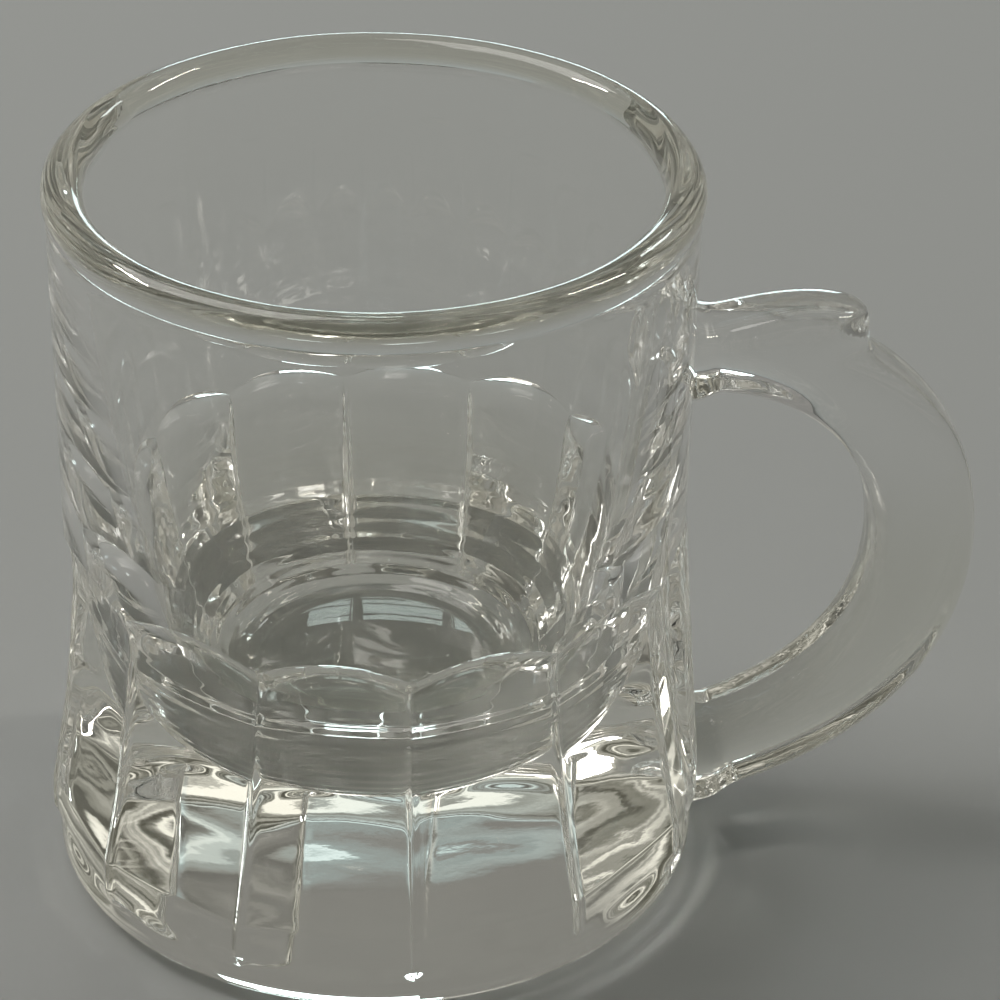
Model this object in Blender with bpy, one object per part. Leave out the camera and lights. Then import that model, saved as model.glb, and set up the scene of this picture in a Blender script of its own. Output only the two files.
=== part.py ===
"""A one-shot beer mug in clear pressed glass: a fluted, thick-based bowl and its fused handle.

Frame: metres, +Z up, the bowl's axis on Z, the underside of the foot on Z = 0, the handle on +X.
Sizes below are in millimetres, and MM turns them into metres where a mesh is made.
"""
import bmesh
import bpy
from math import acos, atan2, cos, hypot, pi, radians, sin
from mathutils import Vector

MM = 0.001

# Bowl, outside
HEIGHT = 55.0                   # foot to the top of the lip
RIM_RADIUS = 23.0               # outside of the rounded lip
LIP_THICKNESS = 2.9             # the fire-polished lip is a round bead this thick
LIP_CREASE = 0.15               # the wall's last row lies this far below the bead
WALL_INSET = 0.3                # how far the wall below the lip stands inside it
WALL_TAPER = 0.35               # how much the wall's radius shrinks down to the flutes

# Flutes: concave panels round the lower half, with arched tops, flaring out to the foot
FLUTE_COUNT = 12
FLUTE_TOP = 28.5                # height of the arches' crowns
ARCH_DROP = 1.5                 # how far the points between two arches hang below the crowns
ARCH_FADE = 4.0                 # height in which the mesh rows beside the arches become level again
COVE_HEIGHT = 2.4               # height in which a flute runs out into the wall at its arch
COVE_EDGE = 0.85                # 0.5 is a hard edge along the arches, 1 a soft one
FLUTE_WAIST_INSET = 0.6         # how far the ridges stand inside the wall just below the arches
FLUTE_HOLLOW = 0.9              # depth of a flute's hollow below its ridges, at the arches
FOOT_HOLLOW = 0.52              # the same just above the foot
FLUTE_RUN_OUT = 1.5             # height above the foot band in which the flutes run out into it
FLARE_OUT = 0.9                 # how far the ridges stand outside the rim where they are widest
FLARE_HEIGHT = 6.5              # height of that widest place
FLARE_CURVE = 2.0               # 1 is a straight cone, more is hollower
FAN_TURN = radians(2.5)         # how far the ridges lean to the middle of each mould half at the arches
FAN_LEVEL = 11.0                # height where they stand evenly round the bowl
STRIP_HALF_TURN = radians(10.0)  # half of the plain strip of wall behind the handle
STRIP_FADE_TURN = radians(8.0)  # where the strip runs out into the flutes beside it

# Foot: a plain round band below the flutes
FOOT_BAND = 2.6                 # height where the flutes have run out into the band
FOOT_ROUND = 1.9                # rounding of the foot's outer corner
FOOT_DRAW_IN = 0.5              # how far the band stands inside the flare

# Bowl, inside
BORE_TAPER = 1.8                # how much the inside narrows from the lip down to the flutes' arches
BORE_CURVE = 2.0                # 1 is a straight cone, more narrows later
FLOOR_THICKNESS = 12.0          # solid glass under the middle of the inside
FLOOR_RADIUS = 9.0              # flat middle of the inside floor
BOWL_ROUND = 13.0               # height over which the inside rounds from the wall to the floor

# Handle: a rounded bar along two cubic curves in the XZ plane, fused to the wall at both ends
HANDLE_WIDTH = 7.0
UPPER_ROOT_THICKNESS = 4.9
GRIP_THICKNESS = 7.8
LOWER_ROOT_THICKNESS = 6.2
UPPER_SWELL = 25.0              # length along the bar from its upper end to its full grip thickness
LOWER_SWELL = 28.0              # the same from its lower end
UPPER_ROOT_HEIGHT = 39.0        # centre of the bar where it leaves the wall
LOWER_ROOT_HEIGHT = 4.9
GRIP_OUT = 17.1                 # from the rim to the middle of the grip
GRIP_HEIGHT = 23.2              # height of the bar's outermost place
UPPER_PULL = 11.0               # how strongly the curve leaves the upper root sideways
UPPER_LIFT = 1.5                # and how far it is drawn upwards there
GRIP_PULL_UP = 11.0             # how strongly the curve stays upright above the grip
GRIP_PULL_DOWN = 10.2           # and below it
LOWER_PULL = 10.3               # how strongly the curve reaches the lower root sideways
LOWER_LIFT = 1.8                # and how far it is drawn upwards there
SECTION_POWER = 3.4             # 2 is an ellipse, more is squarer
ROOT_EMBED = 2.5                # how far the uncut bar reaches into the wall
ROOT_FLARE = 0.5                # how much the bar swells where it meets the wall
ROOT_FLARE_LENGTH = 2.2
WELD_GAP = 0.3                  # clearance kept between the two solids at the fused ends

# Thumb rest: a leaf-shaped rise along the top of the upper limb, measured along the bar from the wall
THUMB_RISE = 2.5
THUMB_START = 0.3               # where the rise begins
THUMB_END = 10.3                # where its blunt tip ends
THUMB_TIP_ROUND = 2.8           # how much earlier the leaf ends at its edges than in its middle
THUMB_STEP = 1.7                # length of the drop behind the tip
THUMB_CROWN = 0.5               # 1 is a narrow crest, less is a broader one

# Fineness of the meshes
STEPS_PER_FLUTE = 8
FOOT_STEPS = 4
LEDGE_ROWS = 3
FLUTE_ROWS = 10
COVE_ROWS = 4
ARCH_ROWS = 3
LIP_OUTSIDE_STEPS = 6
LIP_INSIDE_STEPS = 4
BORE_STEPS = 6
BOWL_STEPS = 8
CURVE_SAMPLES = 200
HANDLE_STATIONS = 56
HANDLE_SIDES = 20
BOWL_SHARP_ANGLE = 0.6          # radians between faces above which an edge stays sharp
HANDLE_SHARP_ANGLE = 0.7
NEARLY_ZERO = 1e-9              # a sine or cosine this small is zero but for rounding


def smooth_step(t):
    """0 below 0, 1 above 1, easing between them."""
    t = min(max(t, 0.0), 1.0)
    return t * t * (3.0 - 2.0 * t)


def wall_radius(z):
    """Outside radius of the plain upper wall."""
    share = min((HEIGHT - z) / (HEIGHT - FLUTE_TOP), 1.0)
    return RIM_RADIUS - WALL_INSET - WALL_TAPER * share


def flare_radius():
    """Outside radius of the ridges where they are widest."""
    return RIM_RADIUS + FLARE_OUT


def band_radius():
    """Outside radius of the plain band above the foot."""
    return flare_radius() - FOOT_DRAW_IN


def ridge_radius(z):
    """Outside radius along the ridges between two flutes."""
    waist = wall_radius(FLUTE_TOP) - FLUTE_WAIST_INSET
    share = min(max((FLUTE_TOP - z) / (FLUTE_TOP - FLARE_HEIGHT), 0.0), 1.0)
    return waist + (flare_radius() - waist) * share ** FLARE_CURVE


def strip_radius(z):
    """Outside radius of the plain strip behind the handle, straight from the wall to the flare."""
    wall = wall_radius(FLUTE_TOP)
    share = min(max((FLUTE_TOP - z) / (FLUTE_TOP - FLARE_HEIGHT), 0.0), 1.0)
    return wall + (flare_radius() - wall) * share


def strip_share(angle):
    """1 on the plain strip behind the handle, 0 on the flutes."""
    turn = min(angle, 2.0 * pi - angle)
    return 1.0 - smooth_step((turn - STRIP_HALF_TURN) / STRIP_FADE_TURN)


def flute_radius(z, u, angle):
    """Outside radius in a flute; u runs from -1 to 1 between its two ridges."""
    height_share = (z - FOOT_BAND) / (FLUTE_TOP - FOOT_BAND)
    hollow = FOOT_HOLLOW + (FLUTE_HOLLOW - FOOT_HOLLOW) * height_share
    fluted = ridge_radius(z) - hollow * (1.0 - u * u)
    panel = fluted + (strip_radius(z) - fluted) * strip_share(angle)
    return band_radius() + (panel - band_radius()) * smooth_step((z - FOOT_BAND) / FLUTE_RUN_OUT)


def fan_turn(level, angle):
    """How far a point of the flutes is turned about the axis, as the ridges lean a little."""
    lean = FAN_TURN * (level - FAN_LEVEL) / (FLUTE_TOP - FAN_LEVEL)
    return lean * (1.0 - smooth_step((level - FLUTE_TOP) / ARCH_FADE)) * sin(2.0 * angle)


def arch_shift(level, u):
    """How far a row of the mesh hangs down beside an arch's crown, so that rows follow the arches."""
    cove_low = FLUTE_TOP - COVE_HEIGHT
    below = smooth_step((level - cove_low + ARCH_FADE) / ARCH_FADE)
    above = 1.0 - smooth_step((level - FLUTE_TOP) / ARCH_FADE)
    return ARCH_DROP * u * u * min(below, above)


def outside_radius(level, z, u, angle):
    """Outside radius above the foot; level is the height that this row has at an arch's crown."""
    if level >= FLUTE_TOP:
        return wall_radius(z)
    depth = min((FLUTE_TOP - level) / COVE_HEIGHT, 1.0)
    run_out = (1.0 - (1.0 - depth) ** 2) ** COVE_EDGE
    return wall_radius(z) + (flute_radius(z, u, angle) - wall_radius(z)) * run_out


def foot_rows():
    """(radius, height) up the rounded corner of the foot to its band."""
    rows = []
    for step in range(FOOT_STEPS + 1):
        turn = pi / 2.0 * step / FOOT_STEPS
        rows.append((band_radius() - FOOT_ROUND * (1.0 - sin(turn)), FOOT_ROUND * (1.0 - cos(turn))))
    return rows


def outside_levels():
    """Heights of the mesh rows from the foot band to just below the lip, close together at the arches."""
    flute_low = FOOT_BAND + FLUTE_RUN_OUT
    cove_low = FLUTE_TOP - COVE_HEIGHT
    levels = []
    for step in range(LEDGE_ROWS):
        levels.append(FOOT_BAND + FLUTE_RUN_OUT * step / LEDGE_ROWS)
    for step in range(FLUTE_ROWS):
        levels.append(flute_low + (cove_low - flute_low) * step / FLUTE_ROWS)
    for step in range(COVE_ROWS + 1):
        levels.append(FLUTE_TOP - COVE_HEIGHT * (1.0 - step / COVE_ROWS) ** 2)
    for step in range(1, ARCH_ROWS + 1):
        levels.append(FLUTE_TOP + ARCH_FADE * step / ARCH_ROWS)
    levels.append(below_lip())
    return levels


def lip_centre():
    """(radius, height) of the middle of the round lip."""
    return RIM_RADIUS - LIP_THICKNESS / 2.0, HEIGHT - LIP_THICKNESS / 2.0


def lip_start():
    """Turn of the lip's bead at which its round meets the wall outside."""
    return -acos((wall_radius(HEIGHT - LIP_THICKNESS) - lip_centre()[0]) / (LIP_THICKNESS / 2.0))


def below_lip():
    """Height where the plain wall begins under the lip."""
    return lip_centre()[1] + LIP_THICKNESS / 2.0 * sin(lip_start()) - LIP_CREASE


def lip_rows():
    """(radius, height) over the lip, from under its outside, over its top, to its inside."""
    radius, height = lip_centre()
    half = LIP_THICKNESS / 2.0
    top = pi / 2.0
    turns = []
    for step in range(LIP_OUTSIDE_STEPS):
        turns.append(lip_start() + (top - lip_start()) * step / LIP_OUTSIDE_STEPS)
    for step in range(LIP_INSIDE_STEPS + 1):
        turns.append(top + (pi - top) * step / LIP_INSIDE_STEPS)
    return [(radius + half * cos(turn), height + half * sin(turn)) for turn in turns]


def bore_radius(z):
    """Inside radius of the bowl's wall, before its bottom is rounded."""
    lip_middle = lip_centre()[1]
    share = max(lip_middle - z, 0.0) / (lip_middle - FLUTE_TOP)
    return RIM_RADIUS - LIP_THICKNESS - BORE_TAPER * share ** BORE_CURVE


def bore_rows():
    """(radius, height) down the inside, from below the lip to the edge of the flat floor."""
    round_top = FLOOR_THICKNESS + BOWL_ROUND
    lip_middle = lip_centre()[1]
    rows = []
    for step in range(1, BORE_STEPS):
        z = lip_middle + (round_top - lip_middle) * step / BORE_STEPS
        rows.append((bore_radius(z), z))
    for step in range(BOWL_STEPS + 1):
        turn = pi / 2.0 * step / BOWL_STEPS
        z = round_top - BOWL_ROUND * sin(turn)
        reach = bore_radius(z) - FLOOR_RADIUS
        rows.append((FLOOR_RADIUS + reach * cos(turn), z))
    return rows


def flute_ring(level, extra=0.0):
    """One ring of points outside at this level, moved outwards by extra."""
    ring = []
    for flute in range(FLUTE_COUNT):
        for step in range(STEPS_PER_FLUTE):
            u = 2.0 * step / STEPS_PER_FLUTE - 1.0
            angle = 2.0 * pi * (flute + (u + 1.0) / 2.0) / FLUTE_COUNT
            z = level - arch_shift(level, u)
            radius = outside_radius(level, z, u, angle) + extra
            turned = angle + fan_turn(level, angle)
            ring.append((radius * cos(turned), radius * sin(turned), z))
    return ring


def round_ring(radius, z):
    """One plain circle of points."""
    count = FLUTE_COUNT * STEPS_PER_FLUTE
    angles = [2.0 * pi * i / count for i in range(count)]
    return [(radius * cos(angle), radius * sin(angle), z) for angle in angles]


def skin_rings(name, rings, bottom, top):
    """A closed mesh over rings of equal length, with a middle point at each end."""
    mesh = bpy.data.meshes.new(name)
    bm = bmesh.new()
    rows = [[bm.verts.new(Vector(point) * MM) for point in ring] for ring in rings]
    for low, high in zip(rows, rows[1:]):
        for i in range(len(low)):
            j = (i + 1) % len(low)
            bm.faces.new((low[i], low[j], high[j], high[i]))
    for row, middle in ((rows[0][::-1], bottom), (rows[-1], top)):
        centre = bm.verts.new(Vector(middle) * MM)
        for i in range(len(row)):
            bm.faces.new((row[i], row[(i + 1) % len(row)], centre))
    bm.normal_update()
    bm.to_mesh(mesh)
    bm.free()
    return mesh


def clear_glass(name):
    """Clear soda-lime glass with a very faint green-grey tone."""
    material = bpy.data.materials.new(name)
    material.use_nodes = True
    shader = material.node_tree.nodes["Principled BSDF"]
    shader.inputs["Base Color"].default_value = (0.93, 0.95, 0.93, 1.0)
    shader.inputs["Roughness"].default_value = 0.03
    shader.inputs["Metallic"].default_value = 0.0
    shader.inputs["Transmission Weight"].default_value = 1.0
    shader.inputs["IOR"].default_value = 1.52
    return material


def add_object(name, mesh, sharp_angle):
    """Link a mesh as a named object with its own glass, smooth up to an angle between faces."""
    mesh.shade_smooth()
    mesh.set_sharp_from_angle(angle=sharp_angle)
    mesh.materials.append(clear_glass(name + "_glass"))
    thing = bpy.data.objects.new(name, mesh)
    bpy.context.scene.collection.objects.link(thing)
    return thing


def make_bowl():
    """The bowl: foot, fluted base, wall, lip and tapered inside, one pressing."""
    rings = [round_ring(radius, z) for radius, z in foot_rows()]
    rings += [flute_ring(level) for level in outside_levels()]
    rings += [round_ring(radius, z) for radius, z in lip_rows() + bore_rows()]
    mesh = skin_rings("mug_body", rings, (0.0, 0.0, 0.0), (0.0, 0.0, FLOOR_THICKNESS))
    return add_object("mug_body", mesh, BOWL_SHARP_ANGLE)


def make_weld_cutter():
    """The bowl's outside grown by the weld gap and closed on top, to cut the handle's ends to the wall."""
    rings = [round_ring(radius + WELD_GAP, z) for radius, z in foot_rows()]
    rings += [flute_ring(level, WELD_GAP) for level in outside_levels()]
    mesh = skin_rings("weld_cutter", rings, (0.0, 0.0, 0.0), (0.0, 0.0, below_lip()))
    cutter = bpy.data.objects.new("weld_cutter", mesh)
    bpy.context.scene.collection.objects.link(cutter)
    cutter.hide_render = True
    cutter.display_type = "WIRE"
    return cutter


def cubic(points, t):
    """Point on a cubic Bezier curve."""
    s = 1.0 - t
    weights = (s ** 3, 3.0 * s * s * t, 3.0 * s * t * t, t ** 3)
    return tuple(sum(w * p[axis] for w, p in zip(weights, points)) for axis in (0, 1))


def bar_curves():
    """Control points of the handle's two curves: upper root to grip, and grip to lower root."""
    upper_x = wall_radius(UPPER_ROOT_HEIGHT) - ROOT_EMBED
    lower_x = ridge_radius(LOWER_ROOT_HEIGHT) - ROOT_EMBED
    reach = RIM_RADIUS + GRIP_OUT
    grip = (reach, GRIP_HEIGHT)
    upper = ((upper_x, UPPER_ROOT_HEIGHT), (upper_x + UPPER_PULL, UPPER_ROOT_HEIGHT + UPPER_LIFT),
             (reach, GRIP_HEIGHT + GRIP_PULL_UP), grip)
    lower = (grip, (reach, GRIP_HEIGHT - GRIP_PULL_DOWN),
             (lower_x + LOWER_PULL, LOWER_ROOT_HEIGHT + LOWER_LIFT), (lower_x, LOWER_ROOT_HEIGHT))
    return upper, lower


def bar_path():
    """Evenly spaced (x, z) points along the middle of the handle, and its length."""
    fine = []
    for curve in bar_curves():
        fine += [cubic(curve, i / CURVE_SAMPLES) for i in range(CURVE_SAMPLES)]
    fine.append(bar_curves()[1][-1])
    run = [0.0]
    for a, b in zip(fine, fine[1:]):
        run.append(run[-1] + hypot(b[0] - a[0], b[1] - a[1]))
    path = []
    k = 0
    for station in range(HANDLE_STATIONS + 1):
        goal = run[-1] * station / HANDLE_STATIONS
        while k < len(run) - 2 and run[k + 1] < goal:
            k += 1
        share = (goal - run[k]) / (run[k + 1] - run[k])
        path.append(tuple(fine[k][axis] + share * (fine[k + 1][axis] - fine[k][axis]) for axis in (0, 1)))
    return path, run[-1]


def bar_thickness(from_upper, from_lower):
    """Thickness of the bar in the handle's plane, from the distances to its two ends."""
    upper_share = 1.0 - smooth_step(from_upper / UPPER_SWELL)
    lower_share = 1.0 - smooth_step(from_lower / LOWER_SWELL)
    upper_loss = (GRIP_THICKNESS - UPPER_ROOT_THICKNESS) * upper_share
    lower_loss = (GRIP_THICKNESS - LOWER_ROOT_THICKNESS) * lower_share
    return GRIP_THICKNESS - upper_loss - lower_loss


def thumb_rise(from_wall, across):
    """Height of the thumb rest above the bar; across runs from -1 to 1 over its width."""
    climb = smooth_step((from_wall - THUMB_START) / (THUMB_END - THUMB_START))
    tip = THUMB_END - THUMB_TIP_ROUND * across * across
    drop = 1.0 - smooth_step((from_wall - tip) / THUMB_STEP)
    return THUMB_RISE * climb * drop


def signed_power(value, power):
    """Power of a number's size that keeps its sign."""
    if abs(value) < NEARLY_ZERO:
        return 0.0
    return abs(value) ** power * (1.0 if value >= 0.0 else -1.0)


def bar_section(station, path, length):
    """One closed ring of points round the bar at a station of its path."""
    ahead = path[min(station + 1, HANDLE_STATIONS)]
    behind = path[max(station - 1, 0)]
    heading = atan2(ahead[1] - behind[1], ahead[0] - behind[0])
    from_upper = length * station / HANDLE_STATIONS
    from_lower = length - from_upper
    to_wall = min(from_upper, from_lower) - ROOT_EMBED
    swell = ROOT_FLARE * (1.0 - smooth_step(to_wall / ROOT_FLARE_LENGTH))
    half_width = HANDLE_WIDTH / 2.0 + swell
    half_thick = bar_thickness(from_upper, from_lower) / 2.0 + swell
    x, z = path[station]
    ring = []
    for side in range(HANDLE_SIDES):
        turn = 2.0 * pi * side / HANDLE_SIDES
        across = signed_power(cos(turn), 2.0 / SECTION_POWER)
        out = half_thick * signed_power(sin(turn), 2.0 / SECTION_POWER)
        out += thumb_rise(from_upper - ROOT_EMBED, across) * max(sin(turn), 0.0) ** THUMB_CROWN
        ring.append((x - out * sin(heading), half_width * across, z + out * cos(heading)))
    return ring


def make_handle():
    """The handle: a rounded bar with its thumb rest, its ends cut to the outside of the bowl."""
    path, length = bar_path()
    rings = [bar_section(station, path, length) for station in range(HANDLE_STATIONS + 1)]
    first = (path[0][0], 0.0, path[0][1])
    last = (path[-1][0], 0.0, path[-1][1])
    mesh = skin_rings("handle", rings, first, last)
    handle = add_object("handle", mesh, HANDLE_SHARP_ANGLE)
    cut = handle.modifiers.new("fit_to_wall", "BOOLEAN")
    cut.operation = "DIFFERENCE"
    cut.solver = "EXACT"
    cut.object = make_weld_cutter()
    return handle


def main():
    for thing in list(bpy.data.objects):
        bpy.data.objects.remove(thing)
    mug = bpy.data.objects.new("mug", None)
    bpy.context.scene.collection.objects.link(mug)
    for piece in (make_bowl(), make_handle()):
        piece.parent = mug


main()
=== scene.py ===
"""Looks of the one-shot glass beer mug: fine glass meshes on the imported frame, a plain floor and soft light.

Frame: metres, +Z up, the bowl's axis on Z, the foot on Z = 0, the handle on +X. Sizes below are in
millimetres, as in the CAD script, whose shapes are repeated here with many more rows.
"""
import bmesh
import bpy
from math import acos, atan2, cos, exp, hypot, pi, radians, sin
from mathutils import Matrix, Vector, noise


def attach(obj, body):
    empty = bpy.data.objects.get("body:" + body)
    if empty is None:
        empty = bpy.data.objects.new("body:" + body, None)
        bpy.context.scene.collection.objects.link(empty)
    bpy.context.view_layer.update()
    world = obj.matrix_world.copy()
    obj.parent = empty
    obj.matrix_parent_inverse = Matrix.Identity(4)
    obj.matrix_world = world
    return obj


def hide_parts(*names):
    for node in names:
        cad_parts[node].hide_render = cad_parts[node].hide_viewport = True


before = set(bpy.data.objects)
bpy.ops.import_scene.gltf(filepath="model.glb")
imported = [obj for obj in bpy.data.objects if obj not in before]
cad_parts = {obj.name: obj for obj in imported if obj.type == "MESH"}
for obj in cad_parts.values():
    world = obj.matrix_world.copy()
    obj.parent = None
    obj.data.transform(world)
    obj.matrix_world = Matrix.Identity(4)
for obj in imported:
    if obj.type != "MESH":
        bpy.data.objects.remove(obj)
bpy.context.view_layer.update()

MM = 0.001

# Bowl, outside
HEIGHT = 55.0                   # foot to the top of the lip
RIM_RADIUS = 23.0               # outside of the rounded lip
LIP_THICKNESS = 2.9             # the fire-polished lip is a round bead this thick
LIP_CREASE = 0.15               # the wall's last row lies this far below the bead
WALL_INSET = 0.3                # how far the wall below the lip stands inside it
WALL_TAPER = 0.35               # how much the wall's radius shrinks down to the flutes

# Flutes: concave panels round the lower half, with arched tops, flaring out to the foot
FLUTE_COUNT = 12
FLUTE_TOP = 28.5                # height of the arches' crowns
ARCH_DROP = 1.5                 # how far the points between two arches hang below the crowns
ARCH_FADE = 4.0                 # height in which the mesh rows beside the arches become level again
COVE_HEIGHT = 2.4               # height in which a flute runs out into the wall at its arch
COVE_EDGE = 0.85                # 0.5 is a hard edge along the arches, 1 a soft one
FLUTE_WAIST_INSET = 0.6         # how far the ridges stand inside the wall just below the arches
FLUTE_HOLLOW = 0.9              # depth of a flute's hollow below its ridges, at the arches
FOOT_HOLLOW = 0.52              # the same just above the foot
FLUTE_RUN_OUT = 1.5             # height above the foot band in which the flutes run out into it
RIDGE_SOFTNESS = 0.035          # rounding of the ridges, as a share of half a flute
RIDGE_BEAD = 0.18               # height of the fine bead along each ridge
RIDGE_BEAD_WIDTH = 0.045        # half of its width, as a share of half a flute
FLARE_OUT = 0.9                 # how far the ridges stand outside the rim where they are widest
FLARE_HEIGHT = 6.5              # height of that widest place
FLARE_CURVE = 2.0               # 1 is a straight cone, more is hollower
FAN_TURN = radians(2.5)         # how far the ridges lean to the middle of each mould half at the arches
FAN_LEVEL = 11.0                # height where they stand evenly round the bowl
STRIP_HALF_TURN = radians(10.0)  # half of the plain strip of wall behind the handle
STRIP_FADE_TURN = radians(8.0)  # where the strip runs out into the flutes beside it

# Foot: a plain round band below the flutes
FOOT_BAND = 2.6                 # height where the flutes have run out into the band
FOOT_ROUND = 1.9                # rounding of the foot's outer corner
FOOT_DRAW_IN = 0.5              # how far the band stands inside the flare

# Bowl, inside
BORE_TAPER = 1.8                # how much the inside narrows from the lip down to the flutes' arches
BORE_CURVE = 2.0                # 1 is a straight cone, more narrows later
FLOOR_THICKNESS = 12.0          # solid glass under the middle of the inside
FLOOR_RADIUS = 9.0              # flat middle of the inside floor
BOWL_ROUND = 13.0               # height over which the inside rounds from the wall to the floor

# Handle: a rounded bar along two cubic curves in the XZ plane, fused to the wall at both ends
HANDLE_WIDTH = 7.0
UPPER_ROOT_THICKNESS = 4.9
GRIP_THICKNESS = 7.8
LOWER_ROOT_THICKNESS = 6.2
UPPER_SWELL = 25.0              # length along the bar from its upper end to its full grip thickness
LOWER_SWELL = 28.0              # the same from its lower end
UPPER_ROOT_HEIGHT = 39.0        # centre of the bar where it leaves the wall
LOWER_ROOT_HEIGHT = 4.9
GRIP_OUT = 17.1                 # from the rim to the middle of the grip
GRIP_HEIGHT = 23.2              # height of the bar's outermost place
UPPER_PULL = 11.0               # how strongly the curve leaves the upper root sideways
UPPER_LIFT = 1.5                # and how far it is drawn upwards there
GRIP_PULL_UP = 11.0             # how strongly the curve stays upright above the grip
GRIP_PULL_DOWN = 10.2           # and below it
LOWER_PULL = 10.3               # how strongly the curve reaches the lower root sideways
LOWER_LIFT = 1.8                # and how far it is drawn upwards there
SECTION_POWER = 3.4             # 2 is an ellipse, more is squarer
ROOT_EMBED = 2.5                # how far the bar reaches into the wall
ROOT_FLARE = 0.5                # how much the bar swells where it meets the wall
ROOT_FLARE_LENGTH = 2.2

# Thumb rest: a leaf-shaped rise along the top of the upper limb, measured along the bar from the wall
THUMB_RISE = 2.5
THUMB_START = 0.3               # where the rise begins
THUMB_END = 10.3                # where its blunt tip ends
THUMB_TIP_ROUND = 2.8           # how much earlier the leaf ends at its edges than in its middle
THUMB_STEP = 1.7                # length of the drop behind the tip
THUMB_CROWN = 0.5               # 1 is a narrow crest, less is a broader one

# Unevenness that a mould and the fire leave in the glass
BASE_WAVE = 0.06                # depth of the waves outside in the thick base
BASE_WAVE_LENGTH = 32.0
BASE_FLATNESS = 11.0            # these waves are this much shorter up and down than sideways
LIP_WAVE = 0.07                 # depth of the waves in the fire-polished lip
LIP_WAVE_LENGTH = 7.0
BORE_WAVE = 0.01                # depth of the waves in the inside wall and bottom
BORE_WAVE_LENGTH = 9.0
HANDLE_WAVE = 0.05              # depth of the waves in the handle
HANDLE_WAVE_LENGTH = 8.0
BASE_SEED = 1.0                 # each kind of wave has its own seed, so that none repeats another
LIP_SEED = 2.0
BORE_SEED = 3.0
HANDLE_SEED = 4.0
RING_DEPTH = 0.02               # turning marks of the plunger round the inside's bottom
RING_COUNT = 14

# Fineness of the meshes
STEPS_PER_FLUTE = 32
RIDGE_CROWDING = 1.7            # 1 is even spacing, more puts more columns beside the ridges
FOOT_STEPS = 8
LEDGE_ROWS = 8
FLUTE_ROWS = 100
COVE_ROWS = 10
ARCH_ROWS = 8
WALL_ROWS = 24
LIP_STEPS = 32
BORE_STEPS = 14
BOWL_STEPS = 140
FLOOR_STEPS = 6
CURVE_SAMPLES = 400
HANDLE_STATIONS = 180
HANDLE_SIDES = 48
SHARP_ANGLE = radians(50.0)     # edges between faces that meet at more than this stay sharp
NEARLY_ZERO = 1e-9              # a sine or cosine this small is zero but for rounding

# Camera, found from the photo: its place relative to the mug, with the handle turned to the right
IMAGE_SIZE = 1000               # pixels across
FOCAL_PIXELS = 4500.0           # focal length in the same pixels
CAMERA_DISTANCE = 277.35        # level distance from the bowl's axis
CAMERA_HEIGHT = 193.17
CAMERA_YAW = radians(1.85)
CAMERA_PITCH = radians(30.72)
CAMERA_ROLL = radians(0.78)
CAMERA_NEAR = 10.0              # nothing nearer to the camera than this is drawn
HANDLE_TURN = radians(6.5)      # the handle points this much away from the camera
SENSOR_WIDTH = 36.0

# Glass: heights and their tints, then smears that dull the polish, and ripples
GLASS_IOR = 1.52
TINT_STOPS = ((20.0, (0.915, 0.912, 0.86)), (30.0, (0.985, 0.985, 0.975)), (53.2, (0.985, 0.985, 0.975)),
              (54.0, (0.80, 0.785, 0.67)))
SMEAR_SCALE = 160.0             # smears per metre
SMEAR_DETAIL = 3.0
SMEAR_FROM = 0.55               # noise values between which the glass turns from polished to smeared
SMEAR_TO = 0.8
SMEAR_ROUGHNESS = 0.04
RIPPLE_SCALE = 350.0            # ripples per metre
RIPPLE_DETAIL = 4.0
BOWL_RIPPLE = 0.003             # depth of the ripples
HANDLE_RIPPLE = 0.03
LIGHT_BOUNCES = 32              # light is reflected many times inside thick glass

# Surroundings: a room in level streaks of light, brighter beside the backdrop, which a cool window tops
STREAK_SCALE = 1.0
STREAK_DETAIL = 3.0
STREAK_STRETCH = (1.0, 1.0, 70.0)  # the streaks are this much finer up and down than sideways
ROOM_STOPS = ((0.40, (0.03, 0.028, 0.02)), (0.48, (0.18, 0.175, 0.145)), (0.56, (0.34, 0.33, 0.28)),
              (0.66, (1.2, 1.16, 1.05)))
SIDE_STOPS = ((0.40, (0.09, 0.087, 0.065)), (0.48, (0.30, 0.295, 0.25)), (0.56, (0.46, 0.45, 0.40)),
              (0.66, (1.2, 1.17, 1.05)))
WINDOW_STOPS = ((0.36, (0.14, 0.14, 0.13)), (0.46, (0.30, 0.31, 0.30)), (0.54, (0.40, 0.49, 0.49)),
                (0.66, (0.85, 1.0, 1.0)))
BACKDROP_COLOUR = (0.246, 0.243, 0.228)
BACKDROP_TOP = 35.0             # degrees above the floor
WINDOW_BOTTOM = 37.0
SHADE_COLOUR = (0.10, 0.098, 0.085)  # high up on the side that the picture is taken from, it is dim
SHADE_FROM = 46.0               # degrees above the floor
SHADE_TO = 56.0
FRONT_FROM = 0.2                # where one zone turns into the next, as how far a direction points back
FRONT_TO = -0.4
SIDE_FROM = 0.0
SIDE_TO = 0.3
BEHIND_FROM = 0.6
BEHIND_TO = 0.78

# Floor
FLOOR_DROP = 0.25               # it lies this far below the foot, so that their faces don't coincide
FLOOR_HALF = 1500.0             # half of its width
FLOOR_COLOUR = (0.243, 0.252, 0.257)
FLOOR_ROUGHNESS = 0.9

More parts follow.
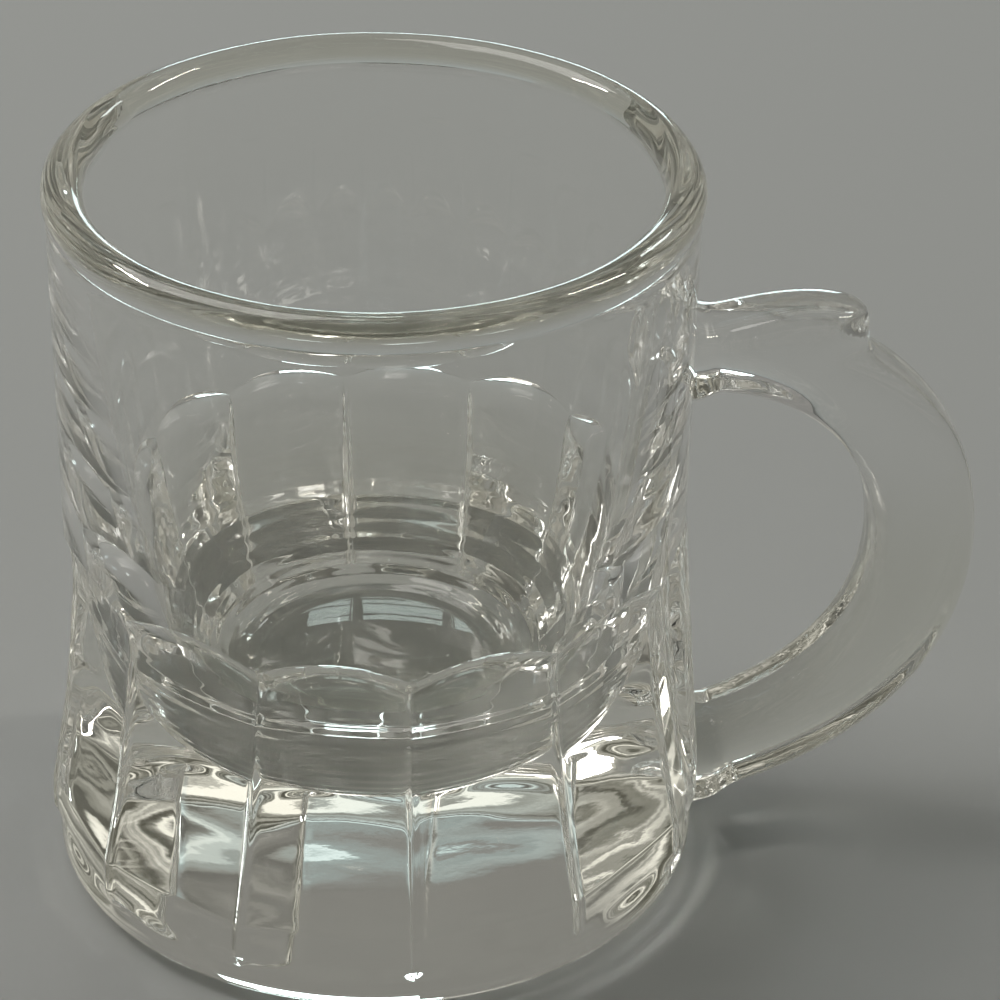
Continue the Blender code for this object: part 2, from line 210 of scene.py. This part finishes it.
# Lamps, in metres and watts: name, place, width and height, power, colour
LAMP_TARGET = (0.0, 0.0, 0.03)
SOFT_WHITE = (1.0, 0.98, 0.95)
WARM_WHITE = (1.0, 0.95, 0.85)
LAMPS = (("key", (-0.32, 0.25, 0.85), (0.55, 0.55), 3.3, SOFT_WHITE),
         ("low_window", (0.15, 0.84, 0.15), (0.36, 0.17), 0.95, (0.80, 0.98, 1.0)),
         ("strip_left", (-0.45, 0.25, 0.55), (0.25, 0.03), 2.0, WARM_WHITE),
         ("strip_right", (0.5, 0.1, 0.6), (0.03, 0.25), 1.0, WARM_WHITE),
         ("side_window", (0.47, 0.47, 0.56), (0.09, 0.12), 0.35, (0.92, 1.0, 1.0)))


def smooth_step(t):
    """0 below 0, 1 above 1, easing between them."""
    t = min(max(t, 0.0), 1.0)
    return t * t * (3.0 - 2.0 * t)


def wave(point, length, seed, flatness=1.0):
    """A smooth random value from about -1 to 1 at a point; flatness makes the waves finer up and down."""
    x, y, z = point
    place = Vector((x, y, z * flatness)) / length
    return noise.noise(place + Vector((seed, 2.0 * seed, 3.0 * seed)))


def wall_radius(z):
    """Outside radius of the plain upper wall."""
    share = min((HEIGHT - z) / (HEIGHT - FLUTE_TOP), 1.0)
    return RIM_RADIUS - WALL_INSET - WALL_TAPER * share


def flare_radius():
    """Outside radius of the ridges where they are widest."""
    return RIM_RADIUS + FLARE_OUT


def band_radius():
    """Outside radius of the plain band above the foot."""
    return flare_radius() - FOOT_DRAW_IN


def ridge_radius(z):
    """Outside radius along the ridges between two flutes."""
    waist = wall_radius(FLUTE_TOP) - FLUTE_WAIST_INSET
    share = min(max((FLUTE_TOP - z) / (FLUTE_TOP - FLARE_HEIGHT), 0.0), 1.0)
    return waist + (flare_radius() - waist) * share ** FLARE_CURVE


def strip_radius(z):
    """Outside radius of the plain strip behind the handle, straight from the wall to the flare."""
    wall = wall_radius(FLUTE_TOP)
    share = min(max((FLUTE_TOP - z) / (FLUTE_TOP - FLARE_HEIGHT), 0.0), 1.0)
    return wall + (flare_radius() - wall) * share


def strip_share(angle):
    """1 on the plain strip behind the handle, 0 on the flutes."""
    turn = min(angle, 2.0 * pi - angle)
    return 1.0 - smooth_step((turn - STRIP_HALF_TURN) / STRIP_FADE_TURN)


def flute_radius(z, u, angle):
    """Outside radius in a flute; u runs from -1 to 1 between its two ridges."""
    from_ridge = 1.0 - abs(u)
    softened = hypot(from_ridge, RIDGE_SOFTNESS) - RIDGE_SOFTNESS
    height_share = (z - FOOT_BAND) / (FLUTE_TOP - FOOT_BAND)
    hollow = FOOT_HOLLOW + (FLUTE_HOLLOW - FOOT_HOLLOW) * height_share
    bead = RIDGE_BEAD * (exp(-(from_ridge / RIDGE_BEAD_WIDTH) ** 2) - 1.0)
    fluted = ridge_radius(z) - hollow * softened * (2.0 - softened) + bead
    panel = fluted + (strip_radius(z) - fluted) * strip_share(angle)
    return band_radius() + (panel - band_radius()) * smooth_step((z - FOOT_BAND) / FLUTE_RUN_OUT)


def fan_turn(level, angle):
    """How far a point of the flutes is turned about the axis, as the ridges lean a little."""
    lean = FAN_TURN * (level - FAN_LEVEL) / (FLUTE_TOP - FAN_LEVEL)
    return lean * (1.0 - smooth_step((level - FLUTE_TOP) / ARCH_FADE)) * sin(2.0 * angle)


def arch_shift(level, u):
    """How far a row of the mesh hangs down beside an arch's crown, so that rows follow the arches."""
    cove_low = FLUTE_TOP - COVE_HEIGHT
    below = smooth_step((level - cove_low + ARCH_FADE) / ARCH_FADE)
    above = 1.0 - smooth_step((level - FLUTE_TOP) / ARCH_FADE)
    return ARCH_DROP * u * u * min(below, above)


def outside_radius(level, z, u, angle):
    """Outside radius above the foot; level is the height that this row has at an arch's crown."""
    if level >= FLUTE_TOP:
        return wall_radius(z)
    depth = min((FLUTE_TOP - level) / COVE_HEIGHT, 1.0)
    run_out = (1.0 - (1.0 - depth) ** 2) ** COVE_EDGE
    return wall_radius(z) + (flute_radius(z, u, angle) - wall_radius(z)) * run_out


def lip_centre():
    """(radius, height) of the middle of the round lip."""
    return RIM_RADIUS - LIP_THICKNESS / 2.0, HEIGHT - LIP_THICKNESS / 2.0


def lip_start():
    """Turn of the lip's bead at which its round meets the wall outside."""
    return -acos((wall_radius(HEIGHT - LIP_THICKNESS) - lip_centre()[0]) / (LIP_THICKNESS / 2.0))


def below_lip():
    """Height where the plain wall begins under the lip."""
    return lip_centre()[1] + LIP_THICKNESS / 2.0 * sin(lip_start()) - LIP_CREASE


def foot_rows():
    """(radius, height) up the rounded corner of the foot to its band."""
    rows = []
    for step in range(FOOT_STEPS + 1):
        turn = pi / 2.0 * step / FOOT_STEPS
        rows.append((band_radius() - FOOT_ROUND * (1.0 - sin(turn)), FOOT_ROUND * (1.0 - cos(turn))))
    return rows


def outside_levels():
    """Heights of the mesh rows from the foot band to just below the lip, close together at the arches."""
    cove_low = FLUTE_TOP - COVE_HEIGHT
    wall_low = FLUTE_TOP + ARCH_FADE
    levels = []
    flute_low = FOOT_BAND + FLUTE_RUN_OUT
    for step in range(LEDGE_ROWS):
        levels.append(FOOT_BAND + FLUTE_RUN_OUT * step / LEDGE_ROWS)
    for step in range(FLUTE_ROWS):
        levels.append(flute_low + (cove_low - flute_low) * step / FLUTE_ROWS)
    for step in range(COVE_ROWS + 1):
        levels.append(FLUTE_TOP - COVE_HEIGHT * (1.0 - step / COVE_ROWS) ** 2)
    for step in range(1, ARCH_ROWS):
        levels.append(FLUTE_TOP + ARCH_FADE * step / ARCH_ROWS)
    for step in range(WALL_ROWS + 1):
        levels.append(wall_low + (below_lip() - wall_low) * step / WALL_ROWS)
    return levels


def lip_rows():
    """(radius, height) over the lip, from under its outside, over its top, to its inside."""
    radius, height = lip_centre()
    half = LIP_THICKNESS / 2.0
    rows = []
    for step in range(LIP_STEPS + 1):
        turn = lip_start() + (pi - lip_start()) * step / LIP_STEPS
        rows.append((radius + half * cos(turn), height + half * sin(turn)))
    return rows


def bore_radius(z):
    """Inside radius of the bowl's wall, before its bottom is rounded."""
    lip_middle = lip_centre()[1]
    share = max(lip_middle - z, 0.0) / (lip_middle - FLUTE_TOP)
    return RIM_RADIUS - LIP_THICKNESS - BORE_TAPER * share ** BORE_CURVE


def bore_rows():
    """(radius, height) down the inside, from below the lip to the middle of the floor."""
    round_top = FLOOR_THICKNESS + BOWL_ROUND
    lip_middle = lip_centre()[1]
    rows = []
    for step in range(1, BORE_STEPS):
        z = lip_middle + (round_top - lip_middle) * step / BORE_STEPS
        rows.append((bore_radius(z), z))
    for step in range(BOWL_STEPS + 1):
        share = step / BOWL_STEPS
        turn = pi / 2.0 * share
        z = round_top - BOWL_ROUND * sin(turn)
        reach = bore_radius(z) - FLOOR_RADIUS
        ring_mark = RING_DEPTH * sin(2.0 * pi * RING_COUNT * share) * sin(pi * share)
        rows.append((FLOOR_RADIUS + reach * cos(turn) - ring_mark * cos(turn),
                     z + ring_mark * sin(turn)))
    for step in range(1, FLOOR_STEPS):
        rows.append((FLOOR_RADIUS * (1.0 - step / FLOOR_STEPS), FLOOR_THICKNESS))
    return rows


def crowded(even):
    """Evenly spaced values from -1 to 1 moved towards both ends, where the ridges are."""
    return (1.0 - (1.0 - abs(even)) ** RIDGE_CROWDING) * (1.0 if even >= 0.0 else -1.0)


def flute_ring(level):
    """One ring of points outside at this level."""
    ring = []
    for flute in range(FLUTE_COUNT):
        for step in range(STEPS_PER_FLUTE):
            even = 2.0 * step / STEPS_PER_FLUTE - 1.0
            u = crowded(even)
            angle = 2.0 * pi * (flute + (u + 1.0) / 2.0) / FLUTE_COUNT
            z = level - arch_shift(level, u)
            radius = outside_radius(level, z, u, angle)
            turned = angle + fan_turn(level, angle)
            ring.append((radius * cos(turned), radius * sin(turned), z))
    return ring


def round_ring(radius, z):
    """One plain circle of points."""
    count = FLUTE_COUNT * STEPS_PER_FLUTE
    angles = [2.0 * pi * i / count for i in range(count)]
    return [(radius * cos(angle), radius * sin(angle), z) for angle in angles]


def uneven(ring, depth, length, seed, flatness=1.0):
    """A ring of points moved towards the axis by up to twice the depth of the waves."""
    moved = []
    for x, y, z in ring:
        shift = depth * (wave((x, y, z), length, seed, flatness) - 1.0) / hypot(x, y)
        moved.append((x * (1.0 + shift), y * (1.0 + shift), z))
    return moved


def skin_rings(name, rings, bottom, top):
    """A closed mesh over rings of equal length, with a middle point at each end."""
    mesh = bpy.data.meshes.new(name)
    bm = bmesh.new()
    rows = [[bm.verts.new(Vector(point) * MM) for point in ring] for ring in rings]
    for low, high in zip(rows, rows[1:]):
        for i in range(len(low)):
            j = (i + 1) % len(low)
            bm.faces.new((low[i], low[j], high[j], high[i]))
    for row, middle in ((rows[0][::-1], bottom), (rows[-1], top)):
        centre = bm.verts.new(Vector(middle) * MM)
        for i in range(len(row)):
            bm.faces.new((row[i], row[(i + 1) % len(row)], centre))
    bm.normal_update()
    bm.to_mesh(mesh)
    bm.free()
    return mesh


def bowl_mesh():
    """The bowl: foot, fluted base, wall, lip and tapered inside, with a little unevenness."""
    rings = []
    for radius, z in foot_rows():
        rings.append(round_ring(radius, z))
    for level in outside_levels():
        depth = BASE_WAVE * smooth_step((FLUTE_TOP - level) / ARCH_FADE)
        rings.append(uneven(flute_ring(level), depth, BASE_WAVE_LENGTH, BASE_SEED, BASE_FLATNESS))
    for radius, z in lip_rows():
        rings.append(uneven(round_ring(radius, z), LIP_WAVE, LIP_WAVE_LENGTH, LIP_SEED))
    for radius, z in bore_rows():
        rings.append(uneven(round_ring(radius, z), BORE_WAVE, BORE_WAVE_LENGTH, BORE_SEED))
    return skin_rings("mug_body_look", rings, (0.0, 0.0, 0.0), (0.0, 0.0, FLOOR_THICKNESS))


def cubic(points, t):
    """Point on a cubic Bezier curve."""
    s = 1.0 - t
    weights = (s ** 3, 3.0 * s * s * t, 3.0 * s * t * t, t ** 3)
    return tuple(sum(w * p[axis] for w, p in zip(weights, points)) for axis in (0, 1))


def bar_curves():
    """Control points of the handle's two curves: upper root to grip, and grip to lower root."""
    upper_x = wall_radius(UPPER_ROOT_HEIGHT) - ROOT_EMBED
    lower_x = ridge_radius(LOWER_ROOT_HEIGHT) - ROOT_EMBED
    reach = RIM_RADIUS + GRIP_OUT
    grip = (reach, GRIP_HEIGHT)
    upper = ((upper_x, UPPER_ROOT_HEIGHT), (upper_x + UPPER_PULL, UPPER_ROOT_HEIGHT + UPPER_LIFT),
             (reach, GRIP_HEIGHT + GRIP_PULL_UP), grip)
    lower = (grip, (reach, GRIP_HEIGHT - GRIP_PULL_DOWN),
             (lower_x + LOWER_PULL, LOWER_ROOT_HEIGHT + LOWER_LIFT), (lower_x, LOWER_ROOT_HEIGHT))
    return upper, lower


def bar_path():
    """Evenly spaced (x, z) points along the middle of the handle, and its length."""
    fine = []
    for curve in bar_curves():
        fine += [cubic(curve, i / CURVE_SAMPLES) for i in range(CURVE_SAMPLES)]
    fine.append(bar_curves()[1][-1])
    run = [0.0]
    for a, b in zip(fine, fine[1:]):
        run.append(run[-1] + hypot(b[0] - a[0], b[1] - a[1]))
    path = []
    k = 0
    for station in range(HANDLE_STATIONS + 1):
        goal = run[-1] * station / HANDLE_STATIONS
        while k < len(run) - 2 and run[k + 1] < goal:
            k += 1
        share = (goal - run[k]) / (run[k + 1] - run[k])
        path.append(tuple(fine[k][axis] + share * (fine[k + 1][axis] - fine[k][axis]) for axis in (0, 1)))
    return path, run[-1]


def bar_thickness(from_upper, from_lower):
    """Thickness of the bar in the handle's plane, from the distances to its two ends."""
    upper_share = 1.0 - smooth_step(from_upper / UPPER_SWELL)
    lower_share = 1.0 - smooth_step(from_lower / LOWER_SWELL)
    upper_loss = (GRIP_THICKNESS - UPPER_ROOT_THICKNESS) * upper_share
    lower_loss = (GRIP_THICKNESS - LOWER_ROOT_THICKNESS) * lower_share
    return GRIP_THICKNESS - upper_loss - lower_loss


def thumb_rise(from_wall, across):
    """Height of the thumb rest above the bar; across runs from -1 to 1 over its width."""
    climb = smooth_step((from_wall - THUMB_START) / (THUMB_END - THUMB_START))
    tip = THUMB_END - THUMB_TIP_ROUND * across * across
    drop = 1.0 - smooth_step((from_wall - tip) / THUMB_STEP)
    return THUMB_RISE * climb * drop


def signed_power(value, power):
    """Power of a number's size that keeps its sign."""
    if abs(value) < NEARLY_ZERO:
        return 0.0
    return abs(value) ** power * (1.0 if value >= 0.0 else -1.0)


def bar_section(station, path, length):
    """One closed ring of points round the bar at a station of its path."""
    ahead = path[min(station + 1, HANDLE_STATIONS)]
    behind = path[max(station - 1, 0)]
    heading = atan2(ahead[1] - behind[1], ahead[0] - behind[0])
    from_upper = length * station / HANDLE_STATIONS
    from_lower = length - from_upper
    to_wall = min(from_upper, from_lower) - ROOT_EMBED
    swell = ROOT_FLARE * (1.0 - smooth_step(to_wall / ROOT_FLARE_LENGTH))
    half_width = HANDLE_WIDTH / 2.0 + swell
    half_thick = bar_thickness(from_upper, from_lower) / 2.0 + swell
    x, z = path[station]
    ring = []
    for side in range(HANDLE_SIDES):
        turn = 2.0 * pi * side / HANDLE_SIDES
        across = signed_power(cos(turn), 2.0 / SECTION_POWER)
        out = half_thick * signed_power(sin(turn), 2.0 / SECTION_POWER)
        out += thumb_rise(from_upper - ROOT_EMBED, across) * max(sin(turn), 0.0) ** THUMB_CROWN
        point = (x - out * sin(heading), half_width * across, z + out * cos(heading))
        shrink = 1.0 + HANDLE_WAVE * (wave(point, HANDLE_WAVE_LENGTH, HANDLE_SEED) - 1.0) / half_thick
        out *= shrink
        ring.append((x - out * sin(heading), half_width * across * shrink, z + out * cos(heading)))
    return ring


def handle_mesh():
    """The handle: a rounded bar with its thumb rest, its ends inside the wall."""
    path, length = bar_path()
    rings = [bar_section(station, path, length) for station in range(HANDLE_STATIONS + 1)]
    first = (path[0][0], 0.0, path[0][1])
    last = (path[-1][0], 0.0, path[-1][1])
    return skin_rings("handle_look", rings, first, last)


def link(name, mesh):
    """A new object in the scene."""
    thing = bpy.data.objects.new(name, mesh)
    bpy.context.scene.collection.objects.link(thing)
    return thing


def ramp(nodes, stops):
    """A colour ramp through pairs of a place and a colour."""
    node = nodes.new("ShaderNodeValToRGB")
    elements = node.color_ramp.elements
    while len(elements) < len(stops):
        elements.new(1.0)
    for element, (place, colour) in zip(elements, stops):
        element.position = place
        element.color = (*colour, 1.0)
    return node


def map_range(nodes, low, high, first=0.0, last=1.0):
    """A node that brings values from low to high to the range from first to last."""
    node = nodes.new("ShaderNodeMapRange")
    node.inputs["From Min"].default_value = low
    node.inputs["From Max"].default_value = high
    node.inputs["To Min"].default_value = first
    node.inputs["To Max"].default_value = last
    return node


def noise_texture(nodes, scale, detail):
    """A noise texture node."""
    node = nodes.new("ShaderNodeTexNoise")
    node.inputs["Scale"].default_value = scale
    node.inputs["Detail"].default_value = detail
    return node


def add_tint(nodes, links, place, shader):
    """Colour the glass by its height."""
    split = nodes.new("ShaderNodeSeparateXYZ")
    height = map_range(nodes, 0.0, HEIGHT * MM)
    tint = ramp(nodes, [(level / HEIGHT, colour) for level, colour in TINT_STOPS])
    links.new(place, split.inputs["Vector"])
    links.new(split.outputs["Z"], height.inputs["Value"])
    links.new(height.outputs["Result"], tint.inputs["Fac"])
    links.new(tint.outputs["Color"], shader.inputs["Base Color"])


def add_smears(nodes, links, place, shader):
    """Dull the polish in smears."""
    smears = noise_texture(nodes, SMEAR_SCALE, SMEAR_DETAIL)
    spread = map_range(nodes, SMEAR_FROM, SMEAR_TO, 0.0, SMEAR_ROUGHNESS)
    links.new(place, smears.inputs["Vector"])
    links.new(smears.outputs["Fac"], spread.inputs["Value"])
    links.new(spread.outputs["Result"], shader.inputs["Roughness"])


def add_ripples(nodes, links, place, shader, depth):
    """Ripple the surface to this depth."""
    ripples = noise_texture(nodes, RIPPLE_SCALE, RIPPLE_DETAIL)
    bump = nodes.new("ShaderNodeBump")
    bump.inputs["Strength"].default_value = 1.0
    bump.inputs["Distance"].default_value = depth * MM
    links.new(place, ripples.inputs["Vector"])
    links.new(ripples.outputs["Fac"], bump.inputs["Height"])
    links.new(bump.outputs["Normal"], shader.inputs["Normal"])


def glass(name, ripple):
    """Clear glass, faintly olive in the thick lip and base, with smears and ripples."""
    material = bpy.data.materials.new(name)
    material.use_nodes = True
    nodes = material.node_tree.nodes
    links = material.node_tree.links
    shader = nodes["Principled BSDF"]
    shader.inputs["Transmission Weight"].default_value = 1.0
    shader.inputs["IOR"].default_value = GLASS_IOR
    place = nodes.new("ShaderNodeTexCoord").outputs["Object"]
    add_tint(nodes, links, place, shader)
    add_smears(nodes, links, place, shader)
    add_ripples(nodes, links, place, shader, ripple)
    return material


def fused(bowl, handle):
    """One mesh of both pieces joined, whose faces keep the material of the piece they come from."""
    join = bowl.modifiers.new("fuse", "BOOLEAN")
    join.operation = "UNION"
    join.solver = "EXACT"
    join.material_mode = "TRANSFER"
    join.object = handle
    bpy.context.view_layer.update()
    depsgraph = bpy.context.evaluated_depsgraph_get()
    return bpy.data.meshes.new_from_object(bowl.evaluated_get(depsgraph))


def faces_of(mesh, name, material):
    """The faces of a fused mesh that carry one material, as a piece of their own, open at the weld."""
    index = [slot.name for slot in mesh.materials].index(material.name)
    piece = mesh.copy()
    piece.name = name
    bm = bmesh.new()
    bm.from_mesh(piece)
    others = [face for face in bm.faces if face.material_index != index]
    bmesh.ops.delete(bm, geom=others, context="FACES")
    for face in bm.faces:
        face.material_index = 0
    bm.to_mesh(piece)
    bm.free()
    piece.materials.clear()
    piece.materials.append(material)
    piece.shade_smooth()
    piece.set_sharp_from_angle(angle=SHARP_ANGLE)
    return link(name, piece)


def make_mug():
    """Bowl and handle as two pieces of one body of glass, with nothing between them at the weld."""
    bowl_glass = glass("bowl_glass", BOWL_RIPPLE)
    handle_glass = glass("handle_glass_look", HANDLE_RIPPLE)
    bowl = link("bowl_form", bowl_mesh())
    handle = link("handle_form", handle_mesh())
    bowl.data.materials.append(bowl_glass)
    handle.data.materials.append(handle_glass)
    whole = fused(bowl, handle)
    pieces = ((faces_of(whole, "bowl_look", bowl_glass), "mug_body", "mug_body_glass"),
              (faces_of(whole, "handle_look", handle_glass), "handle", "handle_glass"))
    for form in (bowl, handle):
        bpy.data.objects.remove(form)
    for piece, node, slot in pieces:
        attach(piece, "root")
        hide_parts(node)


def make_floor():
    """A plain pale grey floor."""
    mesh = bpy.data.meshes.new("floor")
    half = FLOOR_HALF * MM
    height = -FLOOR_DROP * MM
    corners = [(-half, -half, height), (half, -half, height), (half, half, height), (-half, half, height)]
    mesh.from_pydata(corners, [], [(0, 1, 2, 3)])
    material = bpy.data.materials.new("floor")
    material.use_nodes = True
    shader = material.node_tree.nodes["Principled BSDF"]
    shader.inputs["Base Color"].default_value = (*FLOOR_COLOUR, 1.0)
    shader.inputs["Roughness"].default_value = FLOOR_ROUGHNESS
    mesh.materials.append(material)
    link("floor", mesh)


def add_panel(name, place, size, power, colour):
    """A rectangular soft light, aimed at the mug."""
    lamp = bpy.data.lights.new(name, "AREA")
    lamp.shape = "RECTANGLE"
    lamp.size, lamp.size_y = size
    lamp.energy = power
    lamp.color = colour
    thing = link(name, lamp)
    thing.location = place
    aim = Vector(LAMP_TARGET) - Vector(place)
    thing.rotation_euler = aim.to_track_quat("-Z", "Y").to_euler()


def blend(nodes, links, share, first, second):
    """A node that blends two colours, and its output."""
    node = nodes.new("ShaderNodeMix")
    node.data_type = "RGBA"
    links.new(share, node.inputs["Factor"])
    for value, name in ((first, "A"), (second, "B")):
        if isinstance(value, tuple):
            node.inputs[name].default_value = (*value, 1.0)
        else:
            links.new(value, node.inputs[name])
    return node.outputs["Result"]


def make_streaks(nodes, links, place):
    """Three colourings of the same level streaks: for the room, beside the backdrop, and the window."""
    stretch = nodes.new("ShaderNodeMapping")
    stretch.inputs["Scale"].default_value = STREAK_STRETCH
    streaks = noise_texture(nodes, STREAK_SCALE, STREAK_DETAIL)
    links.new(place, stretch.inputs["Vector"])
    links.new(stretch.outputs["Vector"], streaks.inputs["Vector"])
    colourings = [ramp(nodes, stops) for stops in (ROOM_STOPS, SIDE_STOPS, WINDOW_STOPS)]
    for colouring in colourings:
        links.new(streaks.outputs["Fac"], colouring.inputs["Fac"])
    return [colouring.outputs["Color"] for colouring in colourings]


def zone(nodes, links, value, start, full):
    """A share that grows from 0 to 1 as a part of the direction goes from start to full."""
    node = map_range(nodes, start, full)
    links.new(value, node.inputs["Value"])
    return node.outputs["Result"]


def make_room():
    """The surroundings: level streaks of light round the room, and a cool window above a backdrop behind."""
    world = bpy.data.worlds.new("room")
    bpy.context.scene.world = world
    world.use_nodes = True
    nodes = world.node_tree.nodes
    links = world.node_tree.links
    place = nodes.new("ShaderNodeTexCoord").outputs["Generated"]
    split = nodes.new("ShaderNodeSeparateXYZ")
    links.new(place, split.inputs["Vector"])
    back = split.outputs["Y"]
    up = split.outputs["Z"]
    room, side, window = make_streaks(nodes, links, place)
    above = zone(nodes, links, up, sin(radians(BACKDROP_TOP)), sin(radians(WINDOW_BOTTOM)))
    high = zone(nodes, links, up, sin(radians(SHADE_FROM)), sin(radians(SHADE_TO)))
    front = zone(nodes, links, back, FRONT_FROM, FRONT_TO)
    beside = zone(nodes, links, back, SIDE_FROM, SIDE_TO)
    behind = zone(nodes, links, back, BEHIND_FROM, BEHIND_TO)
    shade = nodes.new("ShaderNodeMath")
    shade.operation = "MULTIPLY"
    links.new(high, shade.inputs[0])
    links.new(front, shade.inputs[1])
    rear = blend(nodes, links, above, BACKDROP_COLOUR, window)
    sides = blend(nodes, links, beside, room, side)
    shaded = blend(nodes, links, shade.outputs["Value"], sides, SHADE_COLOUR)
    whole = blend(nodes, links, behind, shaded, rear)
    links.new(whole, nodes["Background"].inputs["Color"])


def make_light():
    """A soft key from above, a low window behind, a small one high on the right; two strips for glints."""
    for lamp in LAMPS:
        add_panel(*lamp)


def make_camera():
    """The photo's camera."""
    right = Vector((cos(CAMERA_YAW), -sin(CAMERA_YAW), 0.0))
    level = Vector((sin(CAMERA_YAW), cos(CAMERA_YAW), 0.0))
    ahead = level * cos(CAMERA_PITCH) - Vector((0.0, 0.0, sin(CAMERA_PITCH)))
    up = right.cross(ahead)
    rolled_right = cos(CAMERA_ROLL) * right + sin(CAMERA_ROLL) * up
    rolled_up = cos(CAMERA_ROLL) * up - sin(CAMERA_ROLL) * right
    pose = Matrix((rolled_right, rolled_up, -ahead)).transposed().to_4x4()
    pose.translation = Vector((0.0, -CAMERA_DISTANCE, CAMERA_HEIGHT)) * MM
    camera = bpy.data.cameras.new("camera")
    camera.sensor_width = SENSOR_WIDTH
    camera.lens = SENSOR_WIDTH * FOCAL_PIXELS / IMAGE_SIZE
    camera.clip_start = CAMERA_NEAR * MM
    thing = link("camera", camera)
    thing.matrix_world = Matrix.Rotation(-HANDLE_TURN, 4, "Z") @ pose
    bpy.context.scene.camera = thing


def set_light_paths():
    """Enough bounces for thick glass, and no softening of the glints inside it."""
    cycles = bpy.context.scene.cycles
    cycles.max_bounces = LIGHT_BOUNCES
    cycles.glossy_bounces = LIGHT_BOUNCES
    cycles.transmission_bounces = LIGHT_BOUNCES
    cycles.blur_glossy = 0.0


make_mug()
make_floor()
make_room()
make_light()
make_camera()
set_light_paths()
bpy.context.scene.view_settings.view_transform = "Standard"
